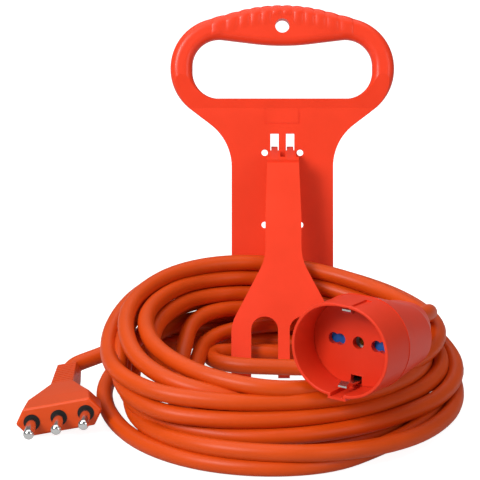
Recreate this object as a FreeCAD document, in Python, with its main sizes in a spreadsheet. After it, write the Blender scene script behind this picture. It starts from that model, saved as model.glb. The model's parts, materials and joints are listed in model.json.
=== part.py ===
"""Extension cord on a folding carrier.

A red plastic carrier (handle plate, three living-hinge webs and a strap) holds a coil of round cord.
A flat three-pin plug lies on the floor at the left, and a round-ended socket lies on the coil at the right.
Millimetres, +Z up, the carrier's foot on the floor at the origin, its strap towards -Y.
"""
import FreeCAD, Part
import Sketcher
import math
import os

V = FreeCAD.Vector
UP = V(0, 0, 1)

SIZES = {
    # carrier, measured in the plane of its plate and of its strap
    "plate_lean": 19, "strap_lean": 30, "plate_foot_y": 21, "hinge_y": -21.8, "hinge_height": 1.3,
    "skin": 2.6, "plate_half": 26.7, "plate_low": 8, "neck_q": 109.9, "shoulder_x": 48.4,
    "shoulder_q": 126.6, "opening_low": 132.1, "neck_radius": 28,
    "ring_front": 3.2, "ring_thick": 9.6, "handle_half": 59, "handle_low_q": 134.6,
    "handle_high_q": 168.6, "handle_top_q": 184.4, "ring_low_q": 121, "ring_low_x": 41.2,
    "ring_top_radius": 90, "ring_corner_radius": 26.7, "ring_round": 4.2, "opening_half": 47.3,
    "opening_high_q": 165, "opening_top_q": 159.2, "opening_radius": 14,
    "opening_top_radius": 120, "fade_low": 127, "fade_high": 150,
    "slot_inner": 1.9, "slot_outer": 6.3, "slot_low": 99, "slot_high": 113.6,
    "peg_hole_x": 9.3, "peg_hole_high": 103.5, "peg_hole_low": 65.5, "peg_hole_radius": 1.7,
    "hang_hole_q": 170.3, "hang_hole_radius": 3.75, "label_half": 9.2, "label_low": 118.6,
    "label_high": 128.6, "label_line": 0.6, "label_depth": 0.3,
    "window_inner": 2.95, "window_outer": 16.6, "window_mid": 9.775, "window_radius": 6.82,
    "plate_arch": 10, "strap_arch": 23.5,
    "strap_flare_low": 26.5, "strap_flare_high": 60.5, "strap_mid_half": 9.2,
    "strap_top_half": 8.2, "strap_straight": 84, "strap_inner_end": 111.4, "strap_outer_end": 112.87,
    "strap_half_skin": 1.3, "strap_width": 53.4, "prong_width": 3.4, "prong_root_width": 5.6,
    "prong_x": 4.1, "web_skin": 1.8, "outer_web_wide": 10.1, "centre_web_wide": 5.9,
    "web_front": -19.9, "web_heel": 23.75, "web_rise_back_y": 26.06,
    "web_rise_back": 6.72, "web_rise_front_y": 23.6, "web_rise_front": 7.56, "web_inner_y": 21.62,
    # cord
    "cord_diameter": 8.1,
    # plug
    "plug_x": -107.8, "plug_y": -103, "plug_height": 10.4, "plug_roll": 10.5, "plug_pitch": 2.5,
    "plug_half": 21, "plug_flat": 16, "plug_deep": 7, "plug_waist": 14, "plug_waist_half": 19.5,
    "plug_waist_flat": 14.5, "plug_hip": 25, "plug_hip_half": 12.8, "plug_hip_flat": 9.8,
    "plug_hip_deep": 6.7, "plug_neck": 36, "plug_neck_half": 7.2, "plug_neck_flat": 5.6,
    "plug_neck_deep": 6.3, "plug_total": 68, "stem_half": 5.9, "stem_flat": 4.6, "stem_deep": 5.1,
    "neck_bore_radius": 3.4, "rib_half": 6.8, "rib_flat": 5.4, "rib_deep": 6.1, "rib_pitch": 3.2,
    "rib_thick": 2.2,
    "core_front": 3, "core_back": 12, "core_half": 15.5, "core_deep": 4, "disc_radius": 3.9,
    "disc_proud": 0.3, "pin_pitch": 13, "pin_radius": 2.5, "pin_root_radius": 2.2,
    "pin_groove": 0.2, "pin_out": 19, "pin_round": 1.8, "pin_stub_radius": 1.7, "pin_stub": 16,
    "cavity_deep": 2.1, "cavity_half": 15,
    "cavity_front": 17.5, "cavity_back": 36, "cavity_back_half": 3.7, "wire_radius": 1.35,
    # socket
    "socket_x": 22.4, "socket_y": -137, "socket_height": 55.9, "socket_turn": 32, "socket_pitch": 4.5,
    "mouth_radius": 21.7, "mouth_shift": 3.3, "wall": 1.5, "seam_depth": 21, "recess_depth": 18,
    "shell_step": 0.25, "shoulder_depth": 51, "shoulder_radius": 15.5, "shoulder_shift": 5.4,
    "shoulder_drop": 2.4, "bevel_depth": 55, "bevel_radius": 13.8, "bevel_shift": 4.7, "bevel_drop": 2,
    "rear_depth": 63, "rear_radius": 11.6, "rear_shift": 2.5, "rear_drop": 1, "relief_hole": 6.1,
    "insert_gap": 0.15,
    "earth_hole": 2.9, "slot_near": 9.5, "slot_far": 13, "slot_radius": 2.7, "clip_window_half": 2.9,
    "clip_window_low": 15.6, "clip_window_high": 19.4, "clip_half": 2.2, "clip_skin": 0.8,
    "clip_centre": 17.6, "clip_back": 24, "clip_tip": 5, "clip_nose": 1.6,
    "shutter_front": 21.3, "shutter_skin": 2, "shutter_inner": 6.4, "shutter_outer": 16.4,
    "shutter_top": 3.3, "shutter_bar": 6.8, "spring_x": 11.5,
    "spring_radius": 0.9, "spring_wire": 0.2, "spring_low": 15.9, "spring_turns": 7,
    "carrier_front": 24.2, "carrier_back": 38, "carrier_half": 16.9, "carrier_high": 9,
    "contact_half": 3.2, "contact_skin": 0.8, "contact_x": 11.25, "contact_long": 12,
    "sleeve_radius": 3.1, "sleeve_bore": 2.55, "relief_radius": 6, "relief_end_radius": 5.2,
    "relief_out": 76, "relief_collar": 8.6, "relief_collar_front": 56, "relief_collar_thick": 4,
}

doc = FreeCAD.newDocument("extension_cord")


def make_sheet():
    """Puts every driving dimension in the spreadsheet, one per row."""
    page = doc.addObject("Spreadsheet::Sheet", "Sizes")
    for row, (name, number) in enumerate(SIZES.items(), 1):
        page.set("A%d" % row, name)
        page.set("B%d" % row, str(number))
        page.setAlias("B%d" % row, name)
    doc.recompute()


def amount(terms):
    """The number that a sum such as 'plate_half - wall' stands for."""
    total, sign = 0.0, 1.0
    for word in str(terms).split():
        if word in "+-":
            sign = 1.0 if word == "+" else -1.0
            continue
        total += sign * (SIZES[word] if word in SIZES else float(word))
        sign = 1.0
    return total


def formula(terms):
    """The same sum as an expression on the spreadsheet's cells."""
    return " ".join("Sizes." + word if word in SIZES else word for word in str(terms).split())


def bind(thing, attribute, terms):
    thing.setExpression(attribute, formula(terms))


# ---------------------------------------------------------------- bodies and sketches

def new_body(label, placement=FreeCAD.Placement()):
    body = doc.addObject("PartDesign::Body", label)
    body.Label = label
    body.Placement = placement
    return body


def sketch(body, plane="XY_Plane", level="0"):
    """An empty sketch on one of the body's own planes, moved along the plane's normal."""
    page = body.newObject("Sketcher::SketchObject", "Sketch")
    origin = [feature for feature in body.Origin.OriginFeatures if feature.Role == plane]
    page.AttachmentSupport = (origin[0], [""])
    page.MapMode = "FlatFace"
    page.AttachmentOffset = FreeCAD.Placement(V(0, 0, amount(level)), FreeCAD.Rotation())
    bind(page, "AttachmentOffset.Base.z", level)
    return page


def hold(page, kind, first, first_point, second, second_point, terms):
    """One driving distance or radius, bound to the spreadsheet."""
    if kind == "Radius":
        index = page.addConstraint(Sketcher.Constraint(kind, first, amount(terms)))
    else:
        index = page.addConstraint(
            Sketcher.Constraint(kind, first, first_point, second, second_point, amount(terms)))
    page.setExpression("Constraints[%d]" % index, formula(terms))


def pin_point(page, shape, point, x, y):
    hold(page, "DistanceX", -1, 1, shape, point, x)
    hold(page, "DistanceY", -1, 1, shape, point, y)


def polygon(page, corners):
    spots = [V(amount(x), amount(y), 0) for x, y in corners]
    start = page.GeometryCount
    count = len(spots)
    for index, spot in enumerate(spots):
        page.addGeometry(Part.LineSegment(spot, spots[(index + 1) % count]), False)
    for index in range(count):
        page.addConstraint(Sketcher.Constraint(
            "Coincident", start + index, 2, start + (index + 1) % count, 1))
        pin_point(page, start + index, 1, *corners[index])


def rectangle(page, left, right, low, high):
    polygon(page, [(left, low), (right, low), (right, high), (left, high)])


def circle(page, x, y, radius):
    shape = page.addGeometry(Part.Circle(V(amount(x), amount(y), 0), UP, amount(radius)), False)
    hold(page, "Radius", shape, 0, 0, 0, radius)
    pin_point(page, shape, 3, x, y)


def stadium(page, shift, radius, middle="0"):
    """A slot outline: two half circles joined by lines, its centres a shift to each side."""
    across, tall, up = amount(shift), amount(radius), amount(middle)
    right = Part.ArcOfCircle(Part.Circle(V(across, up, 0), UP, tall), -math.pi / 2, math.pi / 2)
    left = Part.ArcOfCircle(Part.Circle(V(-across, up, 0), UP, tall), math.pi / 2, 1.5 * math.pi)
    start = page.GeometryCount
    page.addGeometry(right, False)
    page.addGeometry(Part.LineSegment(V(across, up + tall, 0), V(-across, up + tall, 0)), False)
    page.addGeometry(left, False)
    page.addGeometry(Part.LineSegment(V(-across, up - tall, 0), V(across, up - tall, 0)), False)
    for index in range(4):
        page.addConstraint(Sketcher.Constraint(
            "Tangent", start + index, 2, start + (index + 1) % 4, 1))
    hold(page, "Radius", start, 0, 0, 0, radius)
    pin_point(page, start, 3, shift, middle)
    pin_point(page, start + 2, 3, "- " + shift, middle)


def pad(body, page, length, reverse=False, middle=False):
    feature = body.newObject("PartDesign::Pad", "Pad")
    feature.Profile = page
    feature.Reversed = reverse
    feature.SideType = "Symmetric" if middle else "One side"
    bind(feature, "Length", length)
    doc.recompute()
    return feature


def pocket(body, page, length, reverse=False, middle=False):
    """Cuts the sketch into the body, and stops if nothing was cut."""
    before = body.Shape.Volume
    feature = body.newObject("PartDesign::Pocket", "Pocket")
    feature.Profile = page
    feature.Reversed = reverse
    feature.SideType = "Symmetric" if middle else "One side"
    bind(feature, "Length", length)
    doc.recompute()
    if not body.Shape.Volume < before - 0.01:
        raise RuntimeError("a pocket of %s cuts nothing" % body.Label)
    return feature


def loft(body, pages, subtract=False):
    kind = "PartDesign::SubtractiveLoft" if subtract else "PartDesign::AdditiveLoft"
    feature = body.newObject(kind, "Loft")
    feature.Profile = pages[0]
    feature.Sections = pages[1:]
    feature.Ruled = True
    doc.recompute()
    return feature


def edges_where(feature, test):
    return ["Edge%d" % number for number, edge in enumerate(feature.Shape.Edges, 1) if test(edge)]


def fillet(body, test, radius):
    """Rounds the edges of the body's last feature that pass the test."""
    base = body.Tip
    names = edges_where(base, test)
    if not names:
        raise RuntimeError("no edge to round on %s" % body.Label)
    feature = body.newObject("PartDesign::Fillet", "Fillet")
    feature.Base = (base, names)
    bind(feature, "Radius", radius)
    doc.recompute()
    if "Invalid" in feature.State:
        raise RuntimeError("an edge of %s can't be rounded by %s" % (body.Label, radius))
    return feature


def upright_at(x, y):
    """Picks the edges along local Z that stand at x (either side) and y."""
    def test(edge):
        ends = [vertex.Point for vertex in edge.Vertexes]
        if len(ends) != 2 or abs(ends[0].z - ends[1].z) < 0.5:
            return False
        return all(abs(abs(end.x) - amount(x)) < 0.05 and abs(end.y - amount(y)) < 0.05 for end in ends)
    return test


# ---------------------------------------------------------------- placements

def leaning(y, height, lean):
    """A frame whose local Y runs up a surface that leans back, local Z out of its front."""
    turn = FreeCAD.Rotation(V(1, 0, 0), 90 - lean)
    return FreeCAD.Placement(V(0, y, height), turn)


def plate_frame():
    return leaning(amount("plate_foot_y"), 0, amount("plate_lean"))


def strap_frame():
    return leaning(amount("hinge_y"), amount("hinge_height"), amount("strap_lean"))


def plug_frame():
    """Local Z along the pins, local Y up through the plug's flat side."""
    spot = V(amount("plug_x"), amount("plug_y"), amount("plug_height"))
    stand = FreeCAD.Rotation(V(1, 0, 0), 90 - amount("plug_pitch"))
    roll = FreeCAD.Rotation(V(0, 0, 1), amount("plug_roll"))
    return FreeCAD.Placement(spot, stand.multiply(roll))


def socket_frame():
    """Local Z out of the socket's mouth, local Y up."""
    spot = V(amount("socket_x"), amount("socket_y"), amount("socket_height"))
    turn = FreeCAD.Rotation(UP, -amount("socket_turn"))
    stand = FreeCAD.Rotation(V(1, 0, 0), 90 - amount("socket_pitch"))
    return FreeCAD.Placement(spot, turn.multiply(stand))


# ---------------------------------------------------------------- carrier

def make_plate():
    body = new_body("carrier_plate", plate_frame())
    ring = sketch(body, level="ring_front")
    polygon(ring, [
        ("ring_low_x", "ring_low_q"), ("handle_half", "handle_low_q"), ("handle_half", "handle_high_q"),
        ("0", "handle_top_q"), ("- handle_half", "handle_high_q"), ("- handle_half", "handle_low_q"),
        ("- ring_low_x", "ring_low_q")])
    pad(body, ring, "ring_thick", reverse=True)
    fillet(body, upright_at("0", "handle_top_q"), "ring_top_radius")
    fillet(body, upright_at("handle_half", "handle_high_q"), "ring_corner_radius")
    fillet(body, upright_at("handle_half", "handle_low_q"), "ring_corner_radius")
    opening = sketch(body, level="ring_front")
    polygon(opening, [
        ("- opening_half", "opening_low"), ("opening_half", "opening_low"),
        ("opening_half", "opening_high_q"), ("0", "opening_top_q"), ("- opening_half", "opening_high_q")])
    pocket(body, opening, "ring_thick")
    fillet(body, upright_at("0", "opening_top_q"), "opening_top_radius")
    fillet(body, upright_at("opening_half", "opening_high_q"), "opening_radius")
    fillet(body, upright_at("opening_half", "opening_low"), "opening_radius")
    fillet(body, is_ring_rim, "ring_round")
    for face in ("front", "back"):
        fade_ring(body, face)
    add_flat_plate(body)
    cut_plate_holes(body)
    return body


def is_ring_rim(edge):
    """The edges around the ring's front and back faces."""
    levels = {amount("ring_front"), amount("ring_front - ring_thick")}
    box = edge.BoundBox
    return box.ZLength < 0.01 and any(abs(box.ZMin - level) < 0.01 for level in levels)


def fade_ring(body, face):
    """Slopes the ring down to the flat plate below the opening, on one face."""
    flush, proud = ("0", "ring_front + 1") if face == "front" else ("- skin", "ring_front - ring_thick - 1")
    wedge = sketch(body, "YZ_Plane")
    polygon(wedge, [("ring_low_q - 5", flush), ("fade_low", flush), ("fade_high", proud),
                    ("ring_low_q - 5", proud)])
    pocket(body, wedge, "handle_half + handle_half + 4", middle=True)


def add_flat_plate(body):
    page = sketch(body)
    polygon(page, [
        ("- plate_half", "plate_low"), ("plate_half", "plate_low"), ("plate_half", "neck_q"),
        ("shoulder_x", "shoulder_q"), ("shoulder_x", "opening_low"), ("- shoulder_x", "opening_low"),
        ("- shoulder_x", "shoulder_q"), ("- plate_half", "neck_q")])
    pad(body, page, "skin", reverse=True)
    fillet(body, upright_at("plate_half", "neck_q"), "neck_radius")


def cut_plate_holes(body):
    slots = sketch(body)
    rectangle(slots, "slot_inner", "slot_outer", "slot_low", "slot_high")
    rectangle(slots, "- slot_outer", "- slot_inner", "slot_low", "slot_high")
    pocket(body, slots, "skin + 1")
    holes = sketch(body)
    for height in ("peg_hole_high", "peg_hole_low"):
        circle(holes, "peg_hole_x", height, "peg_hole_radius")
        circle(holes, "- peg_hole_x", height, "peg_hole_radius")
    pocket(body, holes, "skin + 1")
    hanger = sketch(body, level="ring_front")
    circle(hanger, "0", "hang_hole_q", "hang_hole_radius")
    pocket(body, hanger, "ring_thick")
    label = sketch(body)
    rectangle(label, "- label_half", "label_half", "label_low", "label_high")
    rectangle(label, "label_line - label_half", "label_half - label_line", "label_low + label_line",
              "label_high - label_line")
    pocket(body, label, "label_depth")
    for side in ("", "- "):
        arch = sketch(body)
        low, high = sorted((side + "window_inner", side + "window_outer"), key=amount)
        rectangle(arch, low, high, "plate_low - 1", "plate_arch")
        pocket(body, arch, "skin + 1")
        crown = sketch(body)
        circle(crown, side + "window_mid", "plate_arch", "window_radius")
        pocket(body, crown, "skin + 1")


def make_strap():
    body = new_body("carrier_strap", strap_frame())
    page = sketch(body)
    polygon(page, [
        ("- plate_half", "0"), ("plate_half", "0"), ("plate_half", "strap_flare_low"),
        ("strap_mid_half", "strap_flare_high"), ("strap_mid_half", "strap_straight"),
        ("strap_top_half", "strap_inner_end"), ("- strap_top_half", "strap_inner_end"),
        ("- strap_mid_half", "strap_straight"), ("- strap_mid_half", "strap_flare_high"),
        ("- plate_half", "strap_flare_low")])
    pad(body, page, "skin", middle=True)
    fillet(body, upright_at("plate_half", "strap_flare_low"), "strap_flare_low - 6")
    fillet(body, upright_at("strap_mid_half", "strap_flare_high"), "strap_flare_low")
    add_strap_hook(body)
    knuckle = sketch(body, "YZ_Plane")
    circle(knuckle, "0", "0", "strap_half_skin")
    pad(body, knuckle, "strap_width", middle=True)
    for side in ("", "- "):
        low, high = sorted((side + "window_inner", side + "window_outer"), key=amount)
        window = sketch(body, level="skin")
        rectangle(window, low, high, "- 3", "strap_arch")
        pocket(body, window, "skin + skin")
        crown = sketch(body, level="skin")
        circle(crown, side + "window_mid", "strap_arch", "window_radius")
        pocket(body, crown, "skin + skin")
    return body


def hook_profile(page, start, reach, first_drop=0.0):
    """A bar from the strap's top towards the plate, level in the world, in the strap's own plane."""
    lean = math.radians(amount("strap_lean"))
    back = V(math.sin(lean), -math.cos(lean), 0)
    down = V(-math.cos(lean), -math.sin(lean), 0)
    top = V(amount("strap_outer_end"), amount("strap_half_skin"), 0)
    low = top + down * (amount("skin") + first_drop)
    spots = [top + back * start, top + back * reach, low + back * reach, low + back * start]
    lines = [Part.LineSegment(spots[index], spots[(index + 1) % 4]) for index in range(4)]
    page.addGeometry(lines, False)


def add_strap_hook(body):
    """The strap's top bends back level and splits into two prongs that pass through the slots."""
    bridge = sketch(body, "YZ_Plane")
    hook_profile(bridge, 0, 6)
    pad(body, bridge, "strap_top_half + strap_top_half", middle=True)
    for side in ("", "- "):
        for width, start, reach, drop in (
                ("prong_root_width", 5, 19, 0), ("prong_width", 18, 27, 0), ("prong_width", 25.2, 27, 1.2)):
            bar = sketch(body, "YZ_Plane", side + "prong_x")
            hook_profile(bar, start, reach, drop)
            pad(body, bar, width, middle=True)


def make_web(name, left, wide):
    """One living-hinge strip of the U-shaped foot, from the strap's knuckle to the plate."""
    body = new_body(name)
    page = sketch(body, "YZ_Plane", left)
    polygon(page, [
        ("web_front", "0"), ("web_heel", "0"), ("web_rise_back_y", "web_rise_back"),
        ("web_rise_front_y", "web_rise_front"), ("web_inner_y", "web_skin"), ("web_front", "web_skin")])
    pad(body, page, wide)
    fillet(body, heel_edge, "skin")
    return body


def heel_edge(edge):
    ends = [vertex.Point for vertex in edge.Vertexes]
    at_heel = [abs(end.y - amount("web_heel")) < 0.05 and abs(end.z) < 0.05 for end in ends]
    return len(ends) == 2 and all(at_heel)


# ---------------------------------------------------------------- cords and wires

def tube(label, spots, diameter):
    """A round cord: straight runs joined by the largest tangent arcs that they allow."""
    spots = [V(*spot) for spot in spots]
    edges, radii, pen = [], [], spots[0]
    for before, corner, after in zip(spots, spots[1:], spots[2:]):
        run_in, run_out = corner - before, after - corner
        turn = run_in.getAngle(run_out)
        trim = 0.45 * min(run_in.Length, run_out.Length)
        radius = trim / math.tan(turn / 2)
        radii.append(round(radius, 1))
        start = corner - run_in.normalize() * trim
        end = corner + run_out.normalize() * trim
        inward = (run_out - run_in).normalize()
        middle = corner + inward * (radius / math.cos(turn / 2) - radius)
        edges += [Part.LineSegment(pen, start).toShape(), Part.Arc(start, middle, end).toShape()]
        pen = end
    edges.append(Part.LineSegment(pen, spots[-1]).toShape())
    path = Part.Wire(edges)
    ring = Part.Wire([Part.Circle(spots[0], spots[1] - spots[0], diameter / 2).toShape()])
    shape = path.makePipeShell([ring], True, True)
    expected = math.pi * diameter ** 2 / 4 * path.Length
    print("%s: %.0f mm long, arc radii %s" % (label, path.Length, radii))
    if abs(shape.Volume / expected - 1) > 0.02:
        raise RuntimeError("%s has the wrong volume" % label)
    return add_shape(label, shape)


def add_shape(label, shape, placement=None):
    feature = doc.addObject("Part::Feature", label)
    feature.Label = label
    feature.Shape = shape
    if placement:
        feature.Placement = placement
    return feature


COIL_CENTRE = V(-2, -61, 0)
# bearing, inner and outer reach at the bottom, inner and outer reach at the top, bottom, top
COIL_STATIONS = [
    (0, 60, 90, 64, 80, 0, 33),
    (45, 65, 90, 74, 92, 0.3, 42),
    (62, 66, 86, 75, 92, 2.6, 46),
    (90, 66, 82, 76, 93, 2.6, 52),
    (118, 64, 88, 74, 93, 2.6, 54),
    (135, 60, 90, 68, 89, 0.5, 53),
    (150, 54, 90, 64, 86, 0, 51.5),
    (180, 46, 91, 62, 83, 0, 48),
    (210, 52, 91, 58, 84, 0, 43.5),
    (240, 57, 92, 57, 78, 0, 40),
    (270, 57, 93, 54, 72, 0, 38.5),
    (286, 56, 92, 54, 71, 0, 33),
    (300, 54, 90, 54, 72, 0, 30),
    (338, 56, 88, 58, 78, 0, 29.5),
    (360, 60, 90, 64, 80, 0, 33),
]
COIL_SECTIONS = 24


def coil_shape(bearing):
    """The reaches and heights of the stack at one bearing, eased between two stations."""
    for before, after in zip(COIL_STATIONS, COIL_STATIONS[1:]):
        if before[0] <= bearing <= after[0]:
            share = (bearing - before[0]) / (after[0] - before[0])
            ease = (1 - math.cos(math.pi * share)) / 2
            return [low + (high - low) * ease for low, high in zip(before[1:], after[1:])]


def coil_section(bearing):
    """A closed outline around the stacked turns where they cross one bearing."""
    inner_low, outer_low, inner_high, outer_high, low, high = coil_shape(bearing)
    away = V(math.cos(math.radians(bearing)), math.sin(math.radians(bearing)), 0)
    bevel = 4
    corners = [
        (inner_low + bevel, low), (outer_low - bevel, low), (outer_low, low + bevel),
        (outer_high, high - bevel), (outer_high - bevel, high), (inner_high + bevel, high),
        (inner_high, high - bevel), (inner_low, low + bevel)]
    spots = [COIL_CENTRE + away * reach + UP * height for reach, height in corners]
    return Part.makePolygon(spots + spots[:1])


def make_coil():
    """The outer shape of the stacked turns: low in front, higher where the carrier holds them."""
    sections = [coil_section(index * 360 / COIL_SECTIONS) for index in range(COIL_SECTIONS)]
    return add_shape("cord_coil", Part.makeLoft(sections, True, True, True))


# the innermost turn: in front of the strap's foot, round its left side and back behind it
INNER_TURN = [
    (57, -62, 7), (55.5, -46, 7.5), (51, -31, 8.5), (43, -18, 9), (30, -8, 10), (14, -4, 9), (-4, -4, 9.2),
    (-21, -4.5, 9.5), (-34, -7.5, 10), (-38.5, -16.5, 10), (-33.5, -27, 10), (-22, -32, 10),
    (-6, -33.5, 10), (12, -35, 10), (28, -37, 12), (40, -36, 17), (50, -30, 21), (57.5, -22, 24),
]

# from the plug's neck, round to the coil's left side
PLUG_LEAD = [
    (-107.8, -35.1, 7.45), (-107.4, -29.6, 8), (-104.4, -25.4, 9), (-98.4, -22.6, 10.5), (-89.5, -18.2, 12.5),
    (-78, -9, 16), (-67, 0, 19),
]

# from the socket's bend relief, down to the coil's right side
SOCKET_LEAD = [
    (62.75, -72.43, 49.9), (67.6, -64.65, 49.2), (71.4, -56, 46.4), (72.8, -46, 41.8), (71.5, -36, 38),
    (67, -24, 37),
]


# ---------------------------------------------------------------- plug

def opposite(terms):
    """The negative of a sum such as 'rib_half - 0.2'."""
    words = str(terms).split()
    flipped = ["+" if word == "-" else "-" if word == "+" else word for word in words]
    return "- " + " ".join(flipped)


def hexagon(page, half, flat, deep):
    polygon(page, [
        (opposite(flat), opposite(deep)), (flat, opposite(deep)), (half, "0"), (flat, deep),
        (opposite(flat), deep), (opposite(half), "0")])


def make_plug_body():
    body = new_body("plug_body", plug_frame())
    front = sketch(body)
    hexagon(front, "plug_half", "plug_flat", "plug_deep")
    waist = sketch(body, level="- plug_waist")
    hexagon(waist, "plug_waist_half", "plug_waist_flat", "plug_deep")
    hip = sketch(body, level="- plug_hip")
    hexagon(hip, "plug_hip_half", "plug_hip_flat", "plug_hip_deep")
    neck = sketch(body, level="- plug_neck")
    hexagon(neck, "plug_neck_half", "plug_neck_flat", "plug_neck_deep")
    loft(body, [front, waist, hip, neck])
    fillet(body, long_or_rim_edge, "1.4")
    stem = sketch(body, level="- plug_neck + 2")
    hexagon(stem, "stem_half", "stem_flat", "stem_deep")
    pad(body, stem, "plug_total - plug_neck + 2", reverse=True)
    for index in range(10):
        rib = sketch(body, level="- plug_neck - 0.9 - %s" % (index * amount("rib_pitch")))
        less = " - %s" % (index * 0.07)
        hexagon(rib, "rib_half" + less, "rib_flat" + less, "rib_deep" + less)
        pad(body, rib, "rib_thick", reverse=True)
    cut_plug_hollow(body)
    return body


def long_or_rim_edge(edge):
    """The loft's long edges and the rim of its front face."""
    box = edge.BoundBox
    return box.ZLength > 5 or abs(box.ZMax) < 0.01


def cut_plug_hollow(body):
    """The space that the core, the crimps and the wires fill inside the moulding."""
    core = sketch(body, level="- core_front")
    rectangle(core, "- core_half", "core_half", "- core_deep", "core_deep")
    pocket(body, core, "core_back - core_front")
    funnel = sketch(body, "XZ_Plane")
    polygon(funnel, [
        ("- cavity_half", "- core_back"), ("cavity_half", "- core_back"),
        ("cavity_half", "- cavity_front"), ("cavity_back_half", "- cavity_back"),
        ("- cavity_back_half", "- cavity_back"), ("- cavity_half", "- cavity_front")])
    pocket(body, funnel, "cavity_deep + cavity_deep", middle=True)
    bore = sketch(body, level="- cavity_back + 1")
    circle(bore, "0", "0", "neck_bore_radius")
    pocket(body, bore, "plug_total - cavity_back + 1")
    discs = sketch(body)
    for x in ("- pin_pitch", "0", "pin_pitch"):
        circle(discs, x, "0", "disc_radius")
    pocket(body, discs, "core_front")


def make_plug_core():
    """The black block that carries the pins, with a round boss around each."""
    body = new_body("plug_core", plug_frame())
    block = sketch(body, level="- core_front")
    rectangle(block, "- core_half", "core_half", "- core_deep", "core_deep")
    pad(body, block, "core_back - core_front", reverse=True)
    bosses = sketch(body, level="- core_front")
    for x in ("- pin_pitch", "0", "pin_pitch"):
        circle(bosses, x, "0", "disc_radius")
    pad(body, bosses, "core_front + disc_proud")
    bores = sketch(body, level="disc_proud")
    for x in ("- pin_pitch", "0", "pin_pitch"):
        circle(bores, x, "0", "pin_root_radius")
    pocket(body, bores, "core_back")
    tails = sketch(body, level="disc_proud")
    for x in ("- pin_pitch", "0", "pin_pitch"):
        circle(tails, x, "0", "pin_stub_radius")
    pocket(body, tails, "core_back + 1")
    return body


def make_pin(name, x):
    body = new_body(name, plug_frame())
    shank = sketch(body, level="pin_out")
    circle(shank, x, "0", "pin_radius")
    pad(body, shank, "pin_out - disc_proud - pin_groove", reverse=True)
    fillet(body, lambda edge: abs(edge.BoundBox.ZMin - amount("pin_out")) < 0.01, "pin_round")
    root = sketch(body, level="disc_proud + pin_groove")
    circle(root, x, "0", "pin_root_radius")
    pad(body, root, "core_back + pin_groove", reverse=True)
    tail = sketch(body, level="disc_proud - core_back")
    circle(tail, x, "0", "pin_stub_radius")
    pad(body, tail, "pin_stub - core_back + disc_proud", reverse=True)
    return body


def place_path(frame, spots):
    return [tuple(frame.multVec(V(*spot))) for spot in spots]


def make_plug_wires():
    """Three insulated cores, from the pins' tails back to the end of the cord."""
    ways = {
        "plug_line_wire": [(-13, 0, -16.2), (-12.7, 0, -18), (-6.5, -0.3, -28), (-1.65, -0.9, -37),
                           (-1.65, -0.9, -46)],
        "plug_earth_wire": [(0, 0, -16.1), (0, 0.05, -22), (0, 0.3, -29), (0, 1.9, -38), (0, 1.85, -46)],
        "plug_neutral_wire": [(13, 0, -16.2), (12.7, 0, -18), (6.5, -0.3, -28), (1.65, -0.9, -37),
                              (1.65, -0.9, -46)],
    }
    for label, spots in ways.items():
        tube(label, place_path(plug_frame(), spots), 2 * amount("wire_radius"))


# ---------------------------------------------------------------- socket

def make_front_shell():
    """The mouth: a deep stadium-shaped collar that the face insert closes at the back."""
    body = new_body("socket_front_shell", socket_frame())
    outer = sketch(body)
    stadium(outer, "mouth_shift", "mouth_radius")
    pad(body, outer, "seam_depth", reverse=True)
    key = sketch(body)
    rectangle(key, "- 4.6", "4.6", "- mouth_radius - 1.3", "- mouth_radius + 3")
    pad(body, key, "seam_depth", reverse=True)
    recess = sketch(body)
    stadium(recess, "mouth_shift", "mouth_radius - wall")
    pocket(body, recess, "seam_depth")
    groove = sketch(body)
    rectangle(groove, "- 3.4", "3.4", "- mouth_radius - 0.2", "- mouth_radius + 3")
    pocket(body, groove, "recess_depth - 1")
    notch = sketch(body)
    rectangle(notch, "- 3.8", "3.8", "mouth_radius - 3", "mouth_radius - 1")
    pocket(body, notch, "recess_depth - 1")
    slot = sketch(body, level="- 1.6")
    rectangle(slot, "4.2", "7.4", "mouth_radius - 0.9", "mouth_radius + 1")
    pocket(body, slot, "14")
    fillet(body, rim_edge, "0.5")
    return body


def rim_edge(edge):
    """The outer and inner edges of the mouth's front face, curved ones only."""
    box = edge.BoundBox
    return abs(box.ZMin) < 0.01 and abs(box.ZMax) < 0.01 and box.YLength > 30


def make_rear_shell():
    body = new_body("socket_rear_shell", socket_frame())
    skins = (("mouth_shift", "mouth_radius + shell_step", "- seam_depth", "0"),
             ("shoulder_shift", "shoulder_radius", "- shoulder_depth", "- shoulder_drop"),
             ("bevel_shift", "bevel_radius", "- bevel_depth", "- bevel_drop"),
             ("rear_shift", "rear_radius", "- rear_depth", "- rear_drop"))
    loft(body, [stadium_page(body, *skin) for skin in skins])
    hollow = (("mouth_shift", "mouth_radius - wall", "- seam_depth", "0"),
              ("shoulder_shift", "shoulder_radius - wall", "- shoulder_depth + 1", "- shoulder_drop"),
              ("rear_shift", "rear_radius - wall", "- rear_depth + wall", "- rear_drop"))
    loft(body, [stadium_page(body, *skin) for skin in hollow], subtract=True)
    hole = sketch(body, level="- rear_depth + 5")
    circle(hole, "0", "0", "relief_hole")
    pocket(body, hole, "8")
    return body


def stadium_page(body, shift, radius, level, middle="0"):
    page = sketch(body, level=level)
    stadium(page, shift, radius, middle)
    return page


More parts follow.
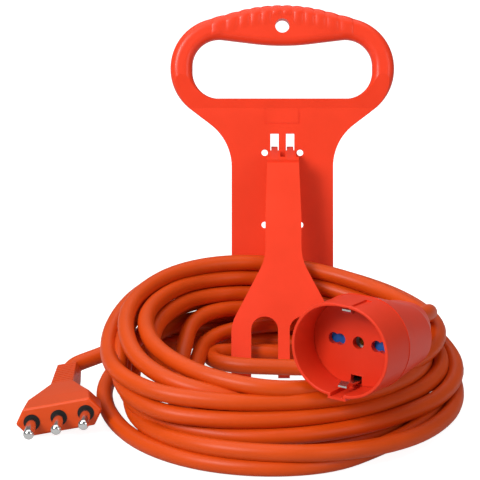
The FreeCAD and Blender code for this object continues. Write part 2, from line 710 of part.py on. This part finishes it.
def make_insert():
    """The floor of the recess, with two pairs of overlapping pin holes and an earth hole."""
    body = new_body("socket_face_insert", socket_frame())
    page = stadium_page(body, "mouth_shift", "mouth_radius - wall - insert_gap", "- recess_depth")
    pad(body, page, "seam_depth - recess_depth", reverse=True)
    holes = sketch(body, level="- recess_depth")
    circle(holes, "0", "0", "earth_hole")
    pocket(body, holes, "4")
    for side in ("", "- "):
        for x in ("slot_near", "slot_far"):
            hole = sketch(body, level="- recess_depth")
            circle(hole, side + x, "0", "slot_radius")
            pocket(body, hole, "4")
        windows = sketch(body, level="- recess_depth")
        low, high = sorted((side + "clip_window_low", side + "clip_window_high"), key=amount)
        rectangle(windows, "- clip_window_half", "clip_window_half", low, high)
        pocket(body, windows, "4")
    return body


def make_shutter():
    """A sprung blue slide: two wings close the slots and a bar below the earth hole joins them."""
    body = new_body("socket_shutter", socket_frame())
    page = sketch(body, level="- shutter_front")
    polygon(page, [
        ("- shutter_outer", "- shutter_bar"), ("shutter_outer", "- shutter_bar"),
        ("shutter_outer", "shutter_top"), ("shutter_inner", "shutter_top"),
        ("shutter_inner", "- shutter_top - 0.2"), ("- shutter_inner", "- shutter_top - 0.2"),
        ("- shutter_inner", "shutter_top"), ("- shutter_outer", "shutter_top")])
    pad(body, page, "shutter_skin", reverse=True)
    return body


def make_springs():
    """Two small compression springs below the shutter's wings."""
    gap = amount("spring_low - shutter_bar") - 2 * amount("spring_wire")
    radius, wire = amount("spring_radius"), amount("spring_wire")
    coils = []
    for side in (-1, 1):
        helix = Part.makeHelix(gap / amount("spring_turns"), gap, radius)
        ring = Part.Wire([Part.Circle(V(radius, 0, 0), V(0, 1, 0), wire).toShape()])
        coil = Part.Wire(helix.Edges).makePipeShell([ring], True, True)
        coil.rotate(V(), V(1, 0, 0), -90)
        depth = -amount("shutter_front") - amount("shutter_skin") / 2
        coil.translate(V(side * amount("spring_x"), -amount("spring_low") + wire, depth))
        coils.append(coil)
    return add_shape("socket_shutter_springs", Part.makeCompound(coils), socket_frame())


def make_contact_carrier():
    """The inner block behind the shutter: it holds the contacts and is the springs' seat."""
    body = new_body("socket_contact_carrier", socket_frame())
    page = sketch(body, level="- carrier_front")
    rectangle(page, "- carrier_half", "carrier_half", "- carrier_high", "carrier_high")
    pad(body, page, "carrier_back - carrier_front", reverse=True)
    for side in ("", "- "):
        low, high = sorted((side + "9", side + "13.6"), key=amount)
        ledge = sketch(body, level="- seam_depth - 0.2")
        rectangle(ledge, low, high, "- spring_low - 0.8", "- spring_low")
        pad(body, ledge, "carrier_front - seam_depth + 1.8", reverse=True)
        arm = sketch(body, level="- carrier_front")
        rectangle(arm, low, high, "- spring_low - 0.8", "- carrier_high + 1")
        pad(body, arm, "2", reverse=True)
        well = sketch(body, level="- carrier_front")
        rectangle(well, *sorted((side + "7.6", side + "14.9"), key=amount), "- 4", "4")
        pocket(body, well, "contact_long + 1")
    well = sketch(body, level="- carrier_front")
    circle(well, "0", "0", "sleeve_radius")
    pocket(body, well, "contact_long + 1")
    outlets = sketch(body, level="- carrier_front")
    for x in ("- contact_x", "0", "contact_x"):
        circle(outlets, x, "0", "pin_stub_radius")
    pocket(body, outlets, "carrier_back - carrier_front + 1")
    return body


def make_contact(name, side):
    """A folded brass strip: two leaves that grip a round pin, and a tail for the wire."""
    body = new_body(name, socket_frame())
    low, high = sorted((side + "7.9", side + "14.6"), key=amount)
    block = sketch(body, level="- carrier_front")
    rectangle(block, low, high, "- contact_half", "contact_half")
    pad(body, block, "contact_long", reverse=True)
    gap = sketch(body, level="- carrier_front")
    rectangle(gap, low + " - 1", high + " + 1", "- contact_half + contact_skin",
              "contact_half - contact_skin")
    pocket(body, gap, "contact_long - contact_skin")
    tail = sketch(body, level="- carrier_front - contact_long")
    circle(tail, side + "contact_x", "0", "pin_stub_radius")
    pad(body, tail, "carrier_back - carrier_front - contact_long + 0.5", reverse=True)
    return body


def make_earth_sleeve():
    """The centre contact: a tube for the earth pin."""
    body = new_body("socket_earth_sleeve", socket_frame())
    page = sketch(body, level="- carrier_front")
    circle(page, "0", "0", "sleeve_radius")
    pad(body, page, "contact_long", reverse=True)
    bore = sketch(body, level="- carrier_front")
    circle(bore, "0", "0", "sleeve_bore")
    pocket(body, bore, "contact_long - contact_skin")
    tail = sketch(body, level="- carrier_front - contact_long")
    circle(tail, "0", "0", "pin_stub_radius")
    pad(body, tail, "carrier_back - carrier_front - contact_long + 0.5", reverse=True)
    return body


def make_earth_clip(name, side):
    """A side earth spring: a strip along the recess wall with a nose near the mouth."""
    body = new_body(name, socket_frame())
    page = sketch(body, "YZ_Plane")
    strip = side + "clip_centre"
    inward = "-" if side == "" else "+"
    polygon(page, [
        (strip, "- clip_back"), (strip + " + clip_skin", "- clip_back"),
        (strip + " + clip_skin", "- clip_tip - 3"), (strip + " + clip_skin", "- clip_tip"),
        (strip, "- clip_tip"), ("%s %s clip_nose" % (strip, inward), "- clip_tip - 2.5"),
        (strip, "- clip_tip - 6")] if side == "" else [
        (strip, "- clip_back"), (strip, "- clip_tip - 6"), (strip + " + clip_nose", "- clip_tip - 2.5"),
        (strip, "- clip_tip"), (strip + " - clip_skin", "- clip_tip"),
        (strip + " - clip_skin", "- clip_back")])
    pad(body, page, "clip_half + clip_half", middle=True)
    return body


def make_relief():
    """A moulded collar and sleeve on the cord: the rear shell traps the collar."""
    body = new_body("socket_bend_relief", socket_frame())
    collar = sketch(body, level="- relief_collar_front")
    circle(collar, "0", "0", "relief_collar")
    pad(body, collar, "relief_collar_thick", reverse=True)
    sleeve = sketch(body, level="- relief_collar_front")
    circle(sleeve, "0", "0", "relief_radius")
    pad(body, sleeve, "rear_depth - relief_collar_front + 4", reverse=True)
    for index in range(3):
        rib = sketch(body, level="- rear_depth - 1 - %s" % (index * 4.4))
        circle(rib, "0", "0", "relief_radius - %s" % (index * 0.15))
        pad(body, rib, "2.8", reverse=True)
    core = sketch(body, level="- rear_depth")
    circle(core, "0", "0", "relief_end_radius - 0.4")
    pad(body, core, "relief_out - rear_depth", reverse=True)
    bore = sketch(body, level="- relief_collar_front")
    circle(bore, "0", "0", "neck_bore_radius")
    pocket(body, bore, "relief_out - relief_collar_front")
    return body


def make_socket_wires():
    """Three insulated cores, from the contacts' tails to the end of the cord."""
    ways = {
        "socket_line_wire": [(-11.25, 0, -38.6), (-11.1, 0, -41), (-2.4, -0.7, -47), (-1.65, -0.9, -51),
                             (-1.65, -0.9, -60)],
        "socket_earth_wire": [(0, 0, -38.6), (0, 0.2, -42), (0, 1.5, -47), (0, 1.9, -52), (0, 1.9, -60)],
        "socket_neutral_wire": [(11.25, 0, -38.6), (11.1, 0, -41), (2.4, -0.7, -47), (1.65, -0.9, -51),
                                (1.65, -0.9, -60)],
    }
    for label, spots in ways.items():
        tube(label, place_path(socket_frame(), spots), 2 * amount("wire_radius"))


# ---------------------------------------------------------------- the whole object

def build():
    make_sheet()
    make_plate()
    make_strap()
    make_web("left_hinge_web", "- plate_half", "outer_web_wide")
    make_web("centre_hinge_web", "- window_inner", "centre_web_wide")
    make_web("right_hinge_web", "window_outer", "outer_web_wide")
    make_coil()
    tube("cord_inner_turn", INNER_TURN, amount("cord_diameter"))
    tube("cord_plug_lead", PLUG_LEAD, amount("cord_diameter"))
    tube("cord_socket_lead", SOCKET_LEAD, amount("cord_diameter"))
    make_plug_body()
    make_plug_core()
    make_pin("plug_line_pin", "- pin_pitch")
    make_pin("plug_earth_pin", "0")
    make_pin("plug_neutral_pin", "pin_pitch")
    make_plug_wires()
    make_front_shell()
    make_rear_shell()
    make_insert()
    make_shutter()
    make_springs()
    make_contact_carrier()
    make_contact("socket_line_contact", "- ")
    make_contact("socket_neutral_contact", "")
    make_earth_sleeve()
    make_earth_clip("socket_upper_earth_clip", "")
    make_earth_clip("socket_lower_earth_clip", "- ")
    make_relief()
    make_socket_wires()
    doc.recompute()


def sub_parts():
    return [item for item in doc.Objects if item.TypeId in ("PartDesign::Body", "Part::Feature")]


def check():
    """Stops on a failed feature or an empty or broken shape."""
    for item in doc.Objects:
        if any(word in item.State for word in ("Invalid", "Error")):
            raise RuntimeError("%s (%s) is %s" % (item.Name, item.Label, item.State))
    for item in sub_parts():
        if item.Shape.isNull() or not item.Shape.isValid():
            raise RuntimeError("%s has no valid shape" % item.Label)


def export():
    os.makedirs("parts", exist_ok=True)
    for item in sub_parts():
        item.Shape.exportStep("parts/%s.step" % item.Label)
        box = item.Shape.BoundBox
        print("%-26s %8.2f cm3  z %.1f to %.1f" % (item.Label, item.Shape.Volume / 1000, box.ZMin, box.ZMax))


build()
check()
export()
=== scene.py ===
"""Extension cord coiled on a red carrier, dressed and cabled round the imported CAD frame."""
import math

import bmesh
import bpy
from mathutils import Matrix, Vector
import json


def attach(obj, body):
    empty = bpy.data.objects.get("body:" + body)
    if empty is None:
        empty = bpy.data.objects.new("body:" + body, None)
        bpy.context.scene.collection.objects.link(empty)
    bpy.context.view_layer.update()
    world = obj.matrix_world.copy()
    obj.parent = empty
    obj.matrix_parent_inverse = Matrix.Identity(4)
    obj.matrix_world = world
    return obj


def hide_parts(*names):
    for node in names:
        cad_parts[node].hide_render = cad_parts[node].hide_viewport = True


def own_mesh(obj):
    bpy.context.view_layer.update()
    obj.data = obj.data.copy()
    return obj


MM = 0.001
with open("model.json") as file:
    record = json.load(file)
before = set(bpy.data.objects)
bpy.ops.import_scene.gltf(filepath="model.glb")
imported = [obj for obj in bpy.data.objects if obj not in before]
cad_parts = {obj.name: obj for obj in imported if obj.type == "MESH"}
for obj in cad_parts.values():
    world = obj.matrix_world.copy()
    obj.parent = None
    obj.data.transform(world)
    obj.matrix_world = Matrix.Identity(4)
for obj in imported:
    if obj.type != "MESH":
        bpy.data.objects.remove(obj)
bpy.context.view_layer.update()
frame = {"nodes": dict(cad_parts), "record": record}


# ------------------------------------------------------------------ materials

def material(name, colour, roughness=0.4, coat=0.0, metallic=0.0, mottle=0.04, grain=900.0,
             bump=0.02, subsurface=0.0, specular=0.3):
    """A moulded plastic or metal with a little colour variation, uneven gloss and fine surface grain."""
    made = bpy.data.materials.new(name)
    made.use_nodes = True
    nodes, links = made.node_tree.nodes, made.node_tree.links
    shader = nodes["Principled BSDF"]
    shader.inputs["Metallic"].default_value = metallic
    shader.inputs["Coat Weight"].default_value = coat
    shader.inputs["Coat Roughness"].default_value = 0.12
    shader.inputs["Specular IOR Level"].default_value = 0.5 if metallic else specular
    shader.inputs["Subsurface Weight"].default_value = subsurface
    shader.inputs["Subsurface Radius"].default_value = (0.004, 0.001, 0.0005)
    shader.inputs["Subsurface Scale"].default_value = 1.0
    place = nodes.new("ShaderNodeTexCoord")
    cloud = nodes.new("ShaderNodeTexNoise")
    cloud.inputs["Scale"].default_value = 45.0
    cloud.inputs["Detail"].default_value = 3.0
    links.new(place.outputs["Object"], cloud.inputs["Vector"])
    tint = nodes.new("ShaderNodeValToRGB")
    tint.color_ramp.elements[0].position = 0.3
    tint.color_ramp.elements[1].position = 0.7
    tint.color_ramp.elements[0].color = [part * (1 - mottle) for part in colour] + [1]
    tint.color_ramp.elements[1].color = [min(1, part * (1 + mottle)) for part in colour] + [1]
    links.new(cloud.outputs["Fac"], tint.inputs["Fac"])
    links.new(tint.outputs["Color"], shader.inputs["Base Color"])
    gloss = nodes.new("ShaderNodeMapRange")
    gloss.inputs["To Min"].default_value = max(0.02, roughness - 0.05)
    gloss.inputs["To Max"].default_value = roughness + 0.06
    links.new(cloud.outputs["Fac"], gloss.inputs["Value"])
    links.new(gloss.outputs["Result"], shader.inputs["Roughness"])
    fine = nodes.new("ShaderNodeTexNoise")
    fine.inputs["Scale"].default_value = grain
    fine.inputs["Detail"].default_value = 2.0
    links.new(place.outputs["Object"], fine.inputs["Vector"])
    relief = nodes.new("ShaderNodeBump")
    relief.inputs["Strength"].default_value = bump
    relief.inputs["Distance"].default_value = 0.0004
    links.new(fine.outputs["Fac"], relief.inputs["Height"])
    links.new(relief.outputs["Normal"], shader.inputs["Normal"])
    return made


LOOKS = {
    "carrier": material("carrier red", (0.86, 0.047, 0.012), 0.34, coat=0.05, subsurface=0.04),
    "cord": material("cord sheath", (0.64, 0.066, 0.003), 0.4, grain=1400, bump=0.04, specular=0.24),
    "plug_cover": material("plug cover", (0.68, 0.066, 0.006), 0.36, coat=0.06, grain=700, bump=0.05),
    "plug_core": material("plug core", (0.012, 0.011, 0.011), 0.35, grain=1200),
    "pins": material("plated pins", (0.8, 0.8, 0.79), 0.14, metallic=1.0, mottle=0.02, grain=2500,
                     bump=0.01),
    "socket_shell": material("socket shell", (0.74, 0.04, 0.012), 0.38, coat=0.01, subsurface=0.03,
                             specular=0.2),
    "socket_insert": material("socket insert", (0.68, 0.034, 0.009), 0.4, specular=0.2),
    "shutter": material("shutter blue", (0.01, 0.09, 0.36), 0.4),
    "carrier_block": material("inner block", (0.7, 0.68, 0.62), 0.5),
    "contact_brass": material("contact brass", (0.72, 0.5, 0.2), 0.28, metallic=1.0),
    "clips": material("earth clips", (0.62, 0.6, 0.57), 0.22, metallic=1.0, grain=2200),
    "spring_steel": material("spring steel", (0.5, 0.5, 0.52), 0.25, metallic=1.0),
    "bend_relief": material("bend relief", (0.7, 0.05, 0.006), 0.42, grain=800, bump=0.05),
    "brown_wire": material("brown wire", (0.09, 0.03, 0.012), 0.4),
    "earth_wire": material("earth wire", (0.2, 0.42, 0.03), 0.4),
    "blue_wire": material("blue wire", (0.01, 0.07, 0.4), 0.4),
}


def dress(piece, look):
    """One finish all over a piece."""
    piece.data.materials.clear()
    piece.data.materials.append(LOOKS[look])


def dress_nodes():
    """The CAD nodes keep their shape and get the finish their record slot names."""
    for part in frame["record"]["subparts"]:
        node = frame["nodes"][part["node"]]
        for place in node.material_slots:
            place.material = LOOKS[part["material_slot"]]


# ----------------------------------------------------------------------- cord

COIL_CENTRE = Vector((-2, -61, 0))
TURN_STEP = 20
CABLE_RADIUS = 4.05
LOWEST_CENTRE = 4.1

# Turns in the order the cable runs from the socket. A row is (bearing in degrees, reach and height in mm),
# seen from COIL_CENTRE. First the top turn, then the inner turn at the left.
# Not all are chosen by hand: a scratch script printed 37 of the reaches, as report.md says.
FIRST_TURNS = [
    [(30, 79, 36.5), (60, 80, 41.3), (90, 80.5, 47.5), (120, 81, 50), (150, 78, 47.5), (180, 75.2, 43.5),
     (210, 77, 37), (225, 76.5, 33.5), (240, 69.5, 30.3), (255, 63, 28.3), (270, 58, 28.3), (300, 57, 20.5),
     (330, 56.5, 17.7)],
    [(0, 61, 17.5), (30, 69, 16), (60, 76, 16.8), (90, 76.3, 23.5), (120, 73.5, 28), (135, 66, 25.6),
     (150, 55.5, 18), (180, 50.5, 11.5), (210, 58, 12), (240, 66.5, 12.3), (270, 63, 12.4), (300, 56.5, 5.5),
     (330, 58.3, 4.1)],
]
# The small inner turn at the strap's foot, as plain points in mm.
SMALL_TURN = [
    (57, -62, 7), (55.5, -46, 7.5), (51, -31, 8.5), (43, -18, 9), (30, -9.5, 10), (14, -6.2, 8.4),
    (-4, -6.2, 8.4), (-21, -6.7, 9), (-33.5, -9.5, 10), (-38.5, -16.5, 10), (-33.5, -26, 10), (-22, -31, 10),
    (-6, -32.5, 10), (12, -34, 10), (28, -36.5, 12), (40, -36, 17), (50, -30, 21), (57.5, -22, 24),
]
# The rest of the stack, in the same form as FIRST_TURNS, from the small turn to the plug's lead.
LATER_TURNS = [
    [(45, 69, 23.5), (60, 69, 22), (90, 69, 18.5), (120, 68.5, 16.5), (135, 57.6, 13.3), (150, 48.6, 10.3),
     (180, 44, 6.9), (210, 51.5, 4.05), (240, 62, 4.05), (270, 64.5, 4.2), (300, 65, 4.7), (330, 66.4, 4.6)],
    [(0, 69, 4.5), (30, 70, 4.05), (60, 70, 5.2), (90, 71, 8.5), (120, 77, 11), (150, 83.5, 12.2),
     (180, 86.8, 8.5), (195, 86, 5.5), (210, 86.2, 4.05), (240, 89.5, 4.05), (270, 88.5, 4.05),
     (285, 86, 4.05), (300, 78, 4.3), (330, 74.5, 5)],
    [(0, 78, 9.9), (30, 81.5, 11.5), (60, 84, 13.5), (90, 83, 18.7), (120, 82.5, 21.4), (150, 78.5, 19.8),
     (180, 71.5, 16.5), (210, 80, 9.5), (240, 87.2, 11.3), (270, 88.5, 11.5), (285, 89, 11), (300, 86, 9),
     (315, 82.3, 6.7), (330, 82.4, 5.6)],
    [(0, 85.5, 7.2), (30, 87, 15), (60, 86.5, 21.7), (90, 86.3, 27), (120, 86.3, 29.3), (150, 73.5, 28.3),
     (180, 76, 26.5), (210, 80.6, 15.2), (240, 76.2, 12.5), (270, 71.8, 12.8), (300, 69, 13), (330, 72, 12.5),
     (345, 79, 13)],
    [(0, 86.2, 15.2), (30, 87.5, 23.5), (60, 87.5, 29.8), (90, 88.7, 35.5), (120, 88.5, 38),
     (150, 78.5, 38.5), (180, 76.3, 35.3), (195, 79.3, 30), (210, 87, 22.7), (225, 85.2, 21),
     (240, 78.2, 20.5), (255, 73.5, 20.3), (270, 68.2, 20.2), (300, 65, 19.8), (330, 64.7, 17.5),
     (345, 70.5, 16.8)],
    [(0, 78, 18.2), (15, 81.5, 22), (30, 79, 27.5), (60, 79.5, 33), (90, 80.5, 39.4), (120, 80, 42.3),
     (150, 70, 43), (180, 65.8, 42.5), (210, 65.5, 39.5), (240, 65.2, 36), (270, 66.2, 33.6), (285, 61.3, 32),
     (300, 57, 28.3), (330, 54.5, 25.5)],
    [(0, 73.5, 29.5), (30, 87, 32), (60, 88, 38), (90, 89, 43.8), (120, 89, 46), (150, 86, 41),
     (180, 83.5, 32.5), (195, 85.5, 31.8), (210, 86.3, 31), (225, 83.5, 29.5), (240, 75.8, 28.5),
     (255, 70.2, 28), (270, 66, 27.6), (300, 64.8, 27.4), (330, 62.2, 24.5)],
    [(0, 69.2, 22.2), (30, 77.5, 19.5), (60, 78.5, 25), (90, 79, 31.3), (120, 77.8, 34.4), (135, 70.5, 35.9),
     (150, 66, 36), (180, 62.5, 34), (210, 64, 31), (240, 69, 20.8), (270, 59.5, 20.5), (300, 60.8, 12.8),
     (330, 60, 11.2)],
    [(0, 68.5, 12), (30, 78, 4.3), (60, 78, 7.3), (90, 79.5, 10.5), (120, 86, 13)],
]
PLUG_END = [(-67, 0, 19), (-78, -9, 16), (-89.5, -18.2, 12.5), (-98.4, -22.6, 10.5), (-104.6, -25.2, 9),
            (-107.5, -29.4, 8), (-107.8, -35.1, 7.45)]
SOCKET_END = [(62.75, -72.43, 49.9), (67.1, -65.3, 49.2), (69.7, -56.5, 47.3), (70.6, -46, 43),
              (70.4, -36, 38.5)]


def hermite(before, start, end, after, share):
    """Reach and height between two marks, with slopes that the marks beside them set."""
    spans = (start[0] - before[0], end[0] - start[0], after[0] - end[0])
    out = []
    for part in (1, 2):
        leave = (end[part] - before[part]) / (spans[0] + spans[1]) * spans[1]
        arrive = (after[part] - start[part]) / (spans[1] + spans[2]) * spans[1]
        square, cube = share * share, share ** 3
        out.append((2 * cube - 3 * square + 1) * start[part] + (cube - 2 * square + share) * leave
                   + (3 * square - 2 * cube) * end[part] + (cube - square) * arrive)
    return out


def wound(turns):
    """Route points of turns that follow on from each other, one every TURN_STEP degrees."""
    marks = [(bearing + 360 * index, reach, height)
             for index, turn in enumerate(turns) for bearing, reach, height in turn]
    reach_gain = 1 / math.cos(math.radians(TURN_STEP / 2))
    points = []
    bearing = marks[0][0]
    while bearing <= marks[-1][0]:
        index = max(i for i, mark in enumerate(marks[:-1]) if mark[0] <= bearing)
        start, end = marks[index], marks[index + 1]
        before = marks[index - 1] if index else (2 * start[0] - end[0], start[1], start[2])
        after = marks[index + 2] if index + 2 < len(marks) else (2 * end[0] - start[0], end[1], end[2])
        share = (bearing - start[0]) / (end[0] - start[0])
        reach, height = hermite(before, start, end, after, share)
        angle = math.radians(bearing)
        away = Vector((math.cos(angle), math.sin(angle), 0)) * reach * reach_gain
        points.append(COIL_CENTRE + away + Vector((0, 0, max(height, LOWEST_CENTRE))))
        bearing += TURN_STEP
    return points


def nurbs(name, points, radius):
    """One open smooth spline drawn by its control points, as a round tube."""
    curve = bpy.data.curves.new(name, "CURVE")
    curve.dimensions = "3D"
    curve.bevel_depth = radius
    curve.bevel_resolution = 6
    curve.use_fill_caps = True
    curve.resolution_u = 6
    spline = curve.splines.new("NURBS")
    spline.points.add(len(points) - 1)
    for point, spot in zip(spline.points, points):
        point.co = (*(Vector(spot) * MM), 1)
    spline.order_u = 3
    spline.use_endpoint_u = True
    made = bpy.data.objects.new(name, curve)
    bpy.context.scene.collection.objects.link(made)
    return made


def build_cord():
    """The whole cable, from the socket's bend relief through every turn to the plug's neck."""
    route = SOCKET_END + wound(FIRST_TURNS) + SMALL_TURN + wound(LATER_TURNS) + PLUG_END
    cable = nurbs("cable", route, CABLE_RADIUS * MM)
    dress(cable, "cord")
    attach(cable, "root")
    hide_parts("cord_coil", "cord_inner_turn", "cord_plug_lead", "cord_socket_lead")


# ----------------------------------------------------------------------- grip

# Lengths in mm, angles round the handle in degrees from its front.
GRIP_VALLEYS = (0, 5.6, 11.4, 17, 23, 30, 37.7)
GRIP_LEAN = math.radians(19)
GRIP_TOP = 184.4
GRIP_ARC = 90
GRIP_STEPS = 8
GRIP_ROWS = 64
GRIP_CREST = 0.38
GRIP_SUNK = 0.1
GRIP_DEPTH = 0.8
GRIP_FULLNESS = 0.7
PLATE_FOOT = 21
CORE_BELOW_TOP = 8
CORE_BEHIND_FRONT = 1.6
HOLE_HALF = 5.5
FRONT_ABOVE_HOLE = -14
FRONT_LIMIT = -54
BACK_LIMIT = 208
FRONT_FADE = 36
BACK_FADE = 24


def grip_top(across):
    """Height of the handle's top edge in the plane of the plate."""
    return GRIP_TOP - GRIP_ARC + math.sqrt(GRIP_ARC ** 2 - across ** 2)


def grip_columns():
    """Positions along the grip with the share of the full rib height there."""
    marks = sorted({side * valley for valley in GRIP_VALLEYS for side in (-1, 1)})
    columns = []
    for left, right in zip(marks, marks[1:]):
        for step in range(GRIP_STEPS):
            share = math.sin(math.pi * step / GRIP_STEPS) ** GRIP_FULLNESS
            columns.append((left + (right - left) * step / GRIP_STEPS, share))
    return columns + [(marks[-1], 0.0)]


def build_grip():
    """Finger ribs that wrap over the top of the handle, laid on the plate's own surface."""
    plate = frame["nodes"]["carrier_plate"]
    inward = plate.matrix_world.inverted()
    up = Vector((0, math.sin(GRIP_LEAN), math.cos(GRIP_LEAN)))
    front = Vector((0, -math.cos(GRIP_LEAN), math.sin(GRIP_LEAN)))
    columns = grip_columns()
    outer, inner = [], []
    for across, share in columns:
        core = Vector((across, PLATE_FOOT, 0)) + up * (grip_top(across) - CORE_BELOW_TOP)
        core -= front * CORE_BEHIND_FRONT
        low = FRONT_ABOVE_HOLE if abs(across) < HOLE_HALF else FRONT_LIMIT
        for row in range(GRIP_ROWS):
            angle = low + (BACK_LIMIT - low) * row / (GRIP_ROWS - 1)
            away = front * math.cos(math.radians(angle)) + up * math.sin(math.radians(angle))
            found, spot, _, _ = plate.ray_cast(inward @ (core * MM), inward.to_3x3() @ away)
            surface = plate.matrix_world @ spot if found else core * MM
            fade = min(1.0, (angle - low) / FRONT_FADE, (BACK_LIMIT - angle) / BACK_FADE)
            rise = (GRIP_CREST + GRIP_SUNK) * share * math.sin(fade * math.pi / 2) - GRIP_SUNK
            outer.append(surface + away * rise * MM)
            inner.append(surface - away * GRIP_DEPTH * MM)
    grip_mesh(outer, inner, len(columns), GRIP_ROWS)


def grip_mesh(outer, inner, across, along):
    """One closed skin between the outer and the inner grid of points."""
    faces = []
    shift = len(outer)
    for column in range(across - 1):
        for row in range(along - 1):
            start = column * along + row
            quad = (start, start + along, start + along + 1, start + 1)
            faces.append(quad)
            faces.append(tuple(shift + corner for corner in reversed(quad)))
    rim = list(range(along))
    rim += [column * along + along - 1 for column in range(1, across)]
    rim += [(across - 1) * along + row for row in range(along - 2, -1, -1)]
    rim += [column * along for column in range(across - 2, 0, -1)]
    for first, second in zip(rim, rim[1:] + rim[:1]):
        faces.append((first, second, shift + second, shift + first))
    mesh = bpy.data.meshes.new("grip ribs")
    mesh.from_pydata(outer + inner, [], faces)
    shape = bmesh.new()
    shape.from_mesh(mesh)
    bmesh.ops.recalc_face_normals(shape, faces=shape.faces)
    shape.to_mesh(mesh)
    shape.free()
    mesh.polygons.foreach_set("use_smooth", [True] * len(mesh.polygons))
    ribs = bpy.data.objects.new("grip_ribs", mesh)
    bpy.context.scene.collection.objects.link(ribs)
    dress(ribs, "carrier")
    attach(ribs, "root")


# -------------------------------------------------------------------- springs


def build_springs():
    """The shutter's two springs, copied from the CAD node into a mesh of their own; the real springs shorten
    as the shutter slides down onto them.
    """
    node = frame["nodes"]["socket_shutter_springs"]
    springs = bpy.data.objects.new("shutter_springs", node.data.copy())
    springs.matrix_world = node.matrix_world
    bpy.context.scene.collection.objects.link(springs)
    dress(springs, "spring_steel")
    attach(springs, "root")
    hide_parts("socket_shutter_springs")
    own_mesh(springs)


# ---------------------------------------------------------------------- studio

OBJECT_MIDDLE = (0, -0.03, 0.06)
# name, place, what it faces, width in metres, watts
LAMPS = (
    ("key", (-1.0, -1.15, 1.1), OBJECT_MIDDLE, 0.7, 25.5),
    ("top", (-0.2, 0.3, 1.6), (-0.1, 0.1, 0), 2.2, 20),
    ("fill", (1.0, -1.1, 0.6), OBJECT_MIDDLE, 0.8, 5),
)
FLOOR_HALF = 6
FLOOR_GLOW = 0.12
FLOOR_GLOW_ADDED_FOR_CAMERA = 0.8
SKY_LIGHT = 0.18


def soft_light(name, place, aim, size, power):
    """A square lamp that faces the point it's aimed at."""
    lamp = bpy.data.lights.new(name, "AREA")
    lamp.energy = power
    lamp.size = size
    made = bpy.data.objects.new(name, lamp)
    made.location = place
    made.rotation_euler = (Vector(aim) - Vector(place)).to_track_quat("-Z", "Y").to_euler()
    bpy.context.scene.collection.objects.link(made)


def build_floor():
    """A pale floor that looks white to the camera and throws little light on the object."""
    mesh = bpy.data.meshes.new("floor")
    half = FLOOR_HALF
    mesh.from_pydata([(-half, -half, 0), (half, -half, 0), (half, half, 0), (-half, half, 0)], [],
                     [(0, 1, 2, 3)])
    floor = bpy.data.objects.new("floor", mesh)
    bpy.context.scene.collection.objects.link(floor)
    pale = bpy.data.materials.new("pale floor")
    pale.use_nodes = True
    shader = pale.node_tree.nodes["Principled BSDF"]
    shader.inputs["Base Color"].default_value = (0.4, 0.4, 0.4, 1)
    shader.inputs["Roughness"].default_value = 0.9
    shader.inputs["Specular IOR Level"].default_value = 0.1
    shader.inputs["Emission Color"].default_value = (1, 1, 1, 1)
    glow = pale.node_tree.nodes.new("ShaderNodeMath")
    glow.operation = "MULTIPLY_ADD"
    glow.inputs[1].default_value = FLOOR_GLOW_ADDED_FOR_CAMERA
    glow.inputs[2].default_value = FLOOR_GLOW
    path = pale.node_tree.nodes.new("ShaderNodeLightPath")
    pale.node_tree.links.new(path.outputs["Is Camera Ray"], glow.inputs[0])
    pale.node_tree.links.new(glow.outputs["Value"], shader.inputs["Emission Strength"])
    mesh.materials.append(pale)


def build_surroundings():
    """White to the camera, and a weak even light on the object."""
    world = bpy.data.worlds.new("studio")
    world.use_nodes = True
    nodes, links = world.node_tree.nodes, world.node_tree.links
    seen = nodes["Background"]
    seen.inputs["Color"].default_value = (1, 1, 1, 1)
    lighting = nodes.new("ShaderNodeBackground")
    lighting.inputs["Color"].default_value = (1, 1, 1, 1)
    lighting.inputs["Strength"].default_value = SKY_LIGHT
    rays = nodes.new("ShaderNodeLightPath")
    either = nodes.new("ShaderNodeMixShader")
    links.new(rays.outputs["Is Camera Ray"], either.inputs["Fac"])
    links.new(lighting.outputs["Background"], either.inputs[1])
    links.new(seen.outputs["Background"], either.inputs[2])
    links.new(either.outputs["Shader"], nodes["World Output"].inputs["Surface"])
    bpy.context.scene.world = world
    bpy.context.scene.view_settings.view_transform = "Standard"


def build_studio():
    """Pale floor, white surroundings, soft lamps above and in front."""
    build_floor()
    build_surroundings()
    for lamp in LAMPS:
        soft_light(*lamp)


VIEW_TILT = math.radians(17)
VIEW_LENS = 172.5
SENSOR_WIDTH = 36
VIEW_DISTANCE = 1.145
VIEW_TARGET = Vector((-22.3, -21.2, 73)) * MM


def build_camera():
    """The photograph's view: 17 degrees down, straight on, from far off."""
    lens = bpy.data.cameras.new("camera")
    lens.lens = VIEW_LENS
    lens.sensor_width = SENSOR_WIDTH
    eye = bpy.data.objects.new("camera", lens)
    eye.location = VIEW_TARGET + Vector((0, -math.cos(VIEW_TILT), math.sin(VIEW_TILT))) * VIEW_DISTANCE
    eye.rotation_euler = (math.radians(90) - VIEW_TILT, 0, 0)
    lens.clip_start = 0.01
    bpy.context.scene.collection.objects.link(eye)
    bpy.context.scene.camera = eye


dress_nodes()
build_cord()
build_grip()
build_springs()
build_studio()
build_camera()
bpy.context.view_layer.update()


def save_sizes():
    import json


save_sizes()
